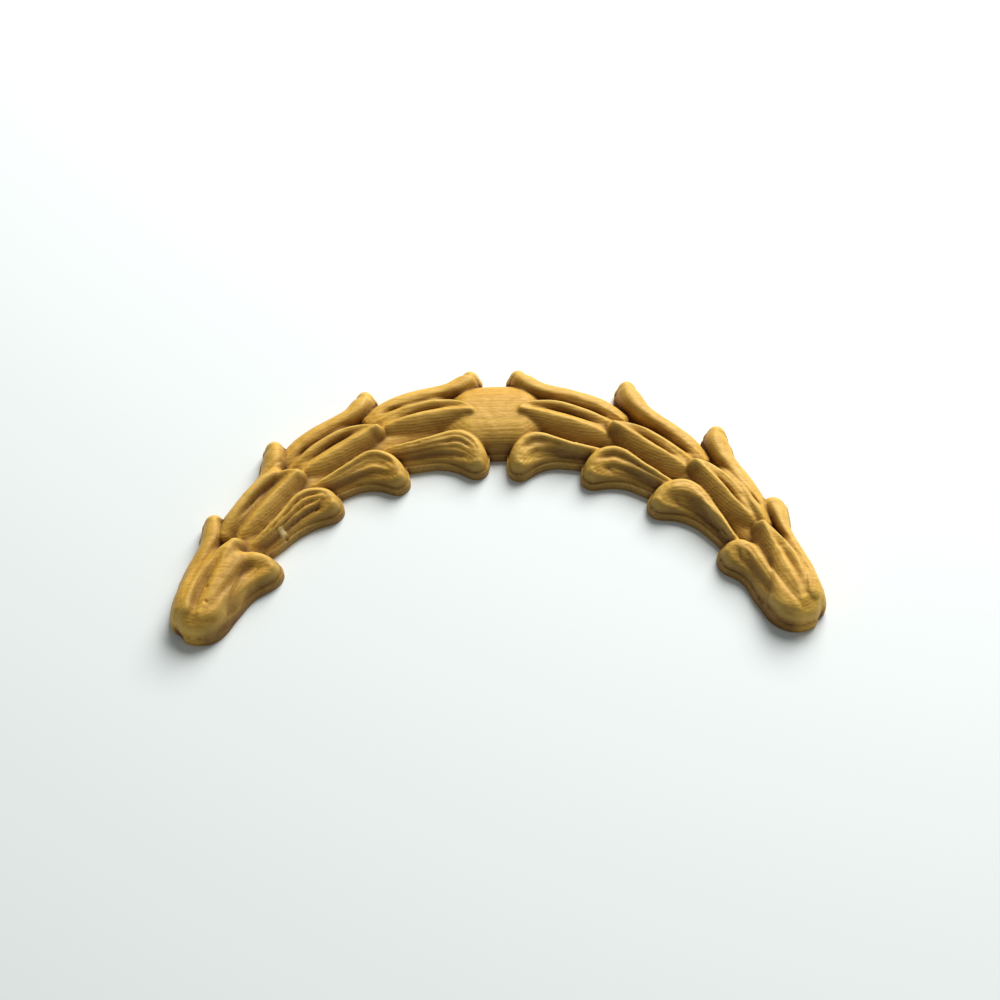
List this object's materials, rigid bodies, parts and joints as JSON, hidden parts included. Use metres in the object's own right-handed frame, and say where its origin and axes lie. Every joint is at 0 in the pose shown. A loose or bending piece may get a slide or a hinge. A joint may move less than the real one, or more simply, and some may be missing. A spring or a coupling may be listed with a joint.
{
  "type": "pressed wood ornament",
  "caption": "Half wreath applique of overlapping carved husks on a curved core, with a plain crown band and a flat back.",
  "frame": {"origin": "in the plane of the flat back, under the middle of the bounding box", "axes": "+X along the wreath's width, to the right as its face is looked at; +Y towards the crown; +Z out of the carved face"},
  "size_m": [0.1521, 0.0767, 0.0093],
  "materials": {
    "golden_wood": "satin golden stain, darker in the grooves"
  },
  "bodies": {
    "root": {"husk_garland": "golden_wood"}
  },
  "joints": []
}
